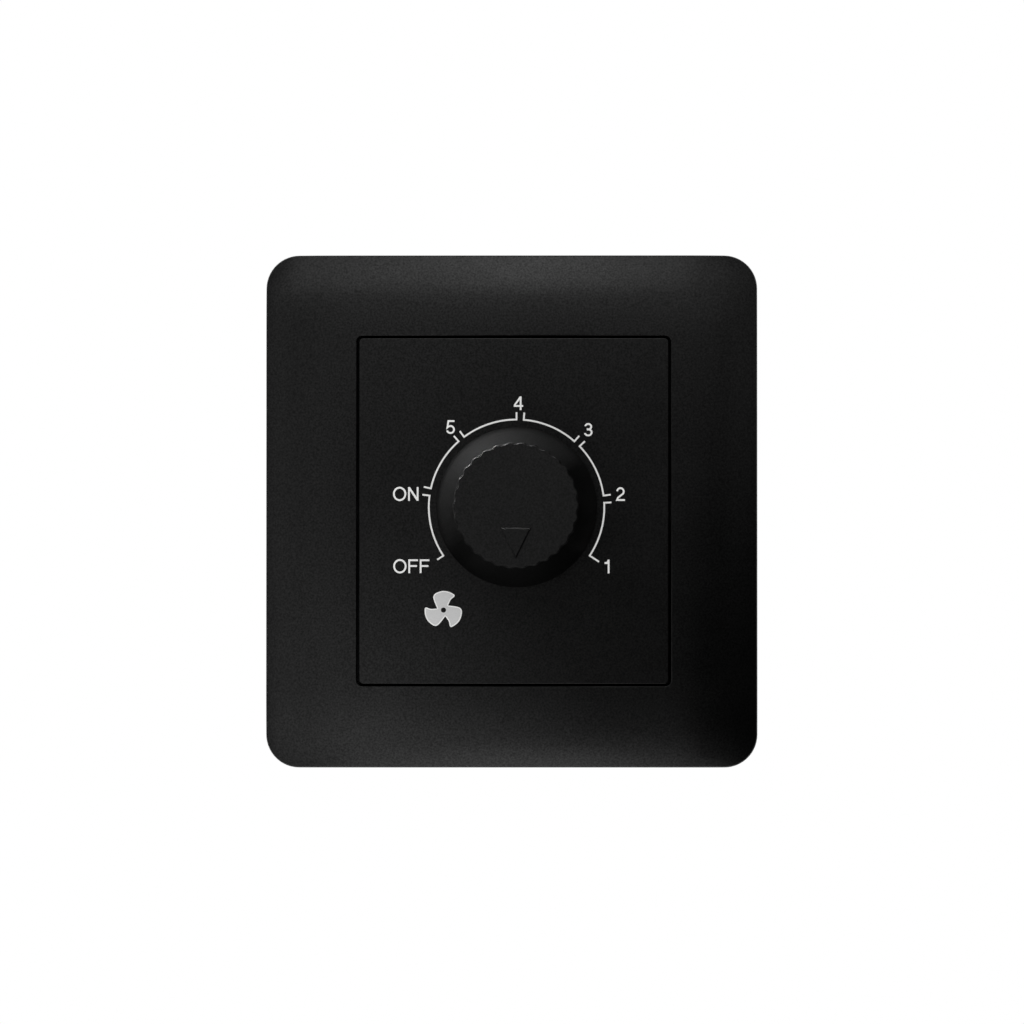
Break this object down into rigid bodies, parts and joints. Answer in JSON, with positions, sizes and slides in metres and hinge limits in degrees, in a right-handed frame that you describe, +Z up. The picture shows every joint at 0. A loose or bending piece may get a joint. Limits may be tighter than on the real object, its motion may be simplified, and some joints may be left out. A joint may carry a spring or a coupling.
{
  "type": "fan speed control switch",
  "caption": "Flush wall fan speed control: crowned square surround, flat dial cover and fluted pointer knob, with a folded support plate and a housed circuit behind.",
  "frame": {"origin": "midway between the two fixing slots, on the wall plane", "axes": "+Z up the plate, +X to the right as seen from the room, +Y into the wall"},
  "size_m": [0.086, 0.0546, 0.0896],
  "materials": {
    "surround_plastic": "finely spark-eroded black",
    "cover_plastic": "finely spark-eroded black",
    "knob_plastic": "satin black",
    "housing_plastic": "satin black",
    "terminal_plastic": "satin grey",
    "sheet_metal": "rolled",
    "plated_steel": "zinc plated",
    "spring_steel": "bright",
    "die_cast_metal": "as cast",
    "turned_metal": "turned",
    "phenolic": "brown",
    "rotor_plastic": "off-white",
    "tinned_brass": "bright",
    "board_laminate": "tan laminate",
    "ferrite": "sintered",
    "copper_wire": "enamelled",
    "filter_case": "yellow",
    "timing_case": "red",
    "fuse_case": "brown",
    "diac_glass": "glassy blue",
    "resistor_coat": "lacquered beige",
    "silicone_pad": "matt grey",
    "lead_metal": "tinned",
    "epoxy": "moulded black"
  },
  "bodies": {
    "switch": {"surround_frame": "surround_plastic", "front_cover": "cover_plastic", "rear_housing": "housing_plastic", "terminal_block": "terminal_plastic", "support_plate": "sheet_metal", "housing_screws": "plated_steel", "pot_washer": "plated_steel", "pot_nut": "plated_steel", "pot_shell": "plated_steel", "triac_screw": "plated_steel", "terminal_screws": "plated_steel", "pot_bushing": "die_cast_metal", "pot_wafer": "phenolic", "switch_case": "phenolic", "pot_pins": "tinned_brass", "switch_pins": "tinned_brass", "terminal_clamps": "tinned_brass", "circuit_board": "board_laminate", "choke_core": "ferrite", "choke_winding": "copper_wire", "filter_capacitor": "filter_case", "timing_capacitor": "timing_case", "board_fuse": "fuse_case", "diac": "diac_glass", "resistor_lower": "resistor_coat", "resistor_upper": "resistor_coat", "insulating_pad": "silicone_pad", "triac_leadframe": "lead_metal", "triac_body": "epoxy"},
    "knob": {"control_knob": "knob_plastic", "knob_spring": "spring_steel", "control_shaft": "turned_metal", "shaft_clip": "plated_steel", "pot_rotor": "rotor_plastic", "pot_wiper": "spring_steel"}
  },
  "joints": [
    {"name": "knob_turn", "type": "hinge", "parent": "switch", "child": "knob", "pos_m": [0.00087, 0, 0.00064], "axis": [0, 1, 0], "range_deg": [0, 304]}
  ]
}
